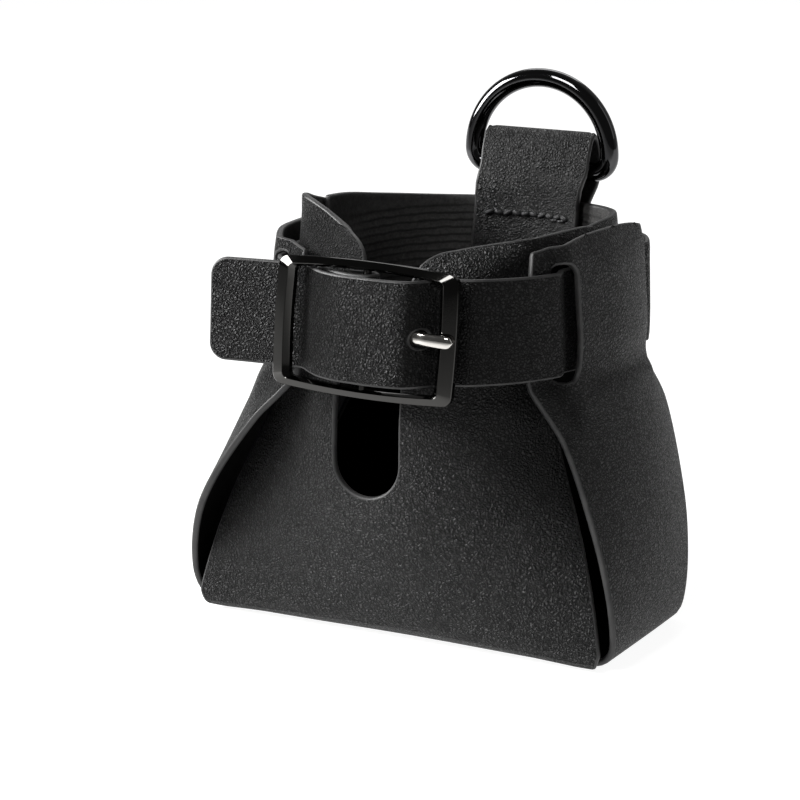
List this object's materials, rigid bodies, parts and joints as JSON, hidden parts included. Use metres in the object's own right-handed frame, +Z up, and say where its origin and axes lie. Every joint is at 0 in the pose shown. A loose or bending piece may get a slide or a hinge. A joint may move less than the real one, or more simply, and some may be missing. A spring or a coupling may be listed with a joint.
{
  "type": "treat pouch",
  "caption": "Small black leather pouch drawn in at the neck by a buckled strap, with a D-ring on a stitched leather tab at the back.",
  "frame": {"origin": "centre of the flat underside of the floor", "axes": "+Z up, the buckle faces -Y, the D-ring tab is at +Y, +X to the right seen from the buckle"},
  "size_m": [0.0946, 0.075, 0.1052],
  "materials": {
    "black_leather": "soft black leather with a fine pebbled grain, low sheen, plain cut edges",
    "black_thread": "thick waxed black thread",
    "gunmetal": "polished black nickel plating with bright bevels",
    "bright_steel": "polished nickel plating",
    "ring_black": "glossy black plating"
  },
  "bodies": {
    "pouch": {"base_panel": "black_leather", "front_panel": "black_leather", "back_panel": "black_leather", "left_side_panel": "black_leather", "right_side_panel": "black_leather", "neck_strap": "black_leather", "chape_stitching": "black_thread", "buckle_frame": "gunmetal", "buckle_centre_bar": "gunmetal", "tab_inner_layer": "black_leather", "tab_outer_layer": "black_leather", "tab_stitching": "black_thread"},
    "tongue": {"strap_tongue": "black_leather"},
    "prong": {"buckle_prong": "bright_steel"},
    "tab": {"tab_loop": "black_leather"},
    "ring": {"d_ring": "ring_black"}
  },
  "joints": [
    {"name": "tab_flex", "type": "hinge", "parent": "pouch", "child": "tab", "pos_m": [0.00439, 0.0363, 0.0787], "axis": [1, 0, 0], "range_deg": [-20, 12], "stiffness_Nm_per_rad": 0.06},
    {"name": "ring_swing", "type": "hinge", "parent": "tab", "child": "ring", "pos_m": [0.00439, 0.0363, 0.0849], "axis": [1, 0, 0], "range_deg": [-140, 95]},
    {"name": "prong_pivot", "type": "hinge", "parent": "pouch", "child": "prong", "pos_m": [-0.00113, -0.0286, 0.0632], "axis": [0, -0.1044, -0.9945], "range_deg": [0, 2.5]},
    {"name": "tongue_flex", "type": "hinge", "parent": "pouch", "child": "tongue", "pos_m": [-0.02048, -0.0257, 0.0632], "axis": [0, 0.1044, 0.9945], "range_deg": [-6, 20], "stiffness_Nm_per_rad": 0.01}
  ]
}
